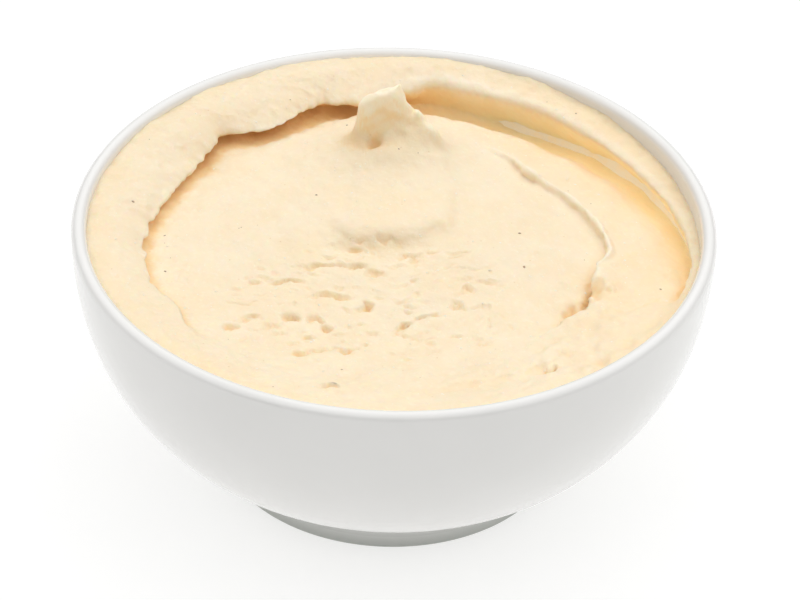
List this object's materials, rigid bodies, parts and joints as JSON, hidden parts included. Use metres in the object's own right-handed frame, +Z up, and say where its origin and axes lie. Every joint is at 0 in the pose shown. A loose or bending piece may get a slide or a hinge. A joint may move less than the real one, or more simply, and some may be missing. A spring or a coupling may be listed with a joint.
{
  "type": "bowl of hummus",
  "caption": "Small round porcelain bowl filled with swirled hummus: a raised rim of dip, a deep spoon channel along one side and a drawn-up peak at the back.",
  "frame": {"origin": "middle of the foot ring's flat bottom", "axes": "+Z up, through the middle of the bowl; +X to the right and -Y the near side, with the peak standing towards +Y and the deep channel along the +X wall"},
  "size_m": [0.12, 0.12, 0.064],
  "materials": {
    "bowl": "gloss",
    "hummus": "satin"
  },
  "bodies": {
    "root": {"bowl": "bowl", "hummus": "hummus"}
  },
  "joints": []
}
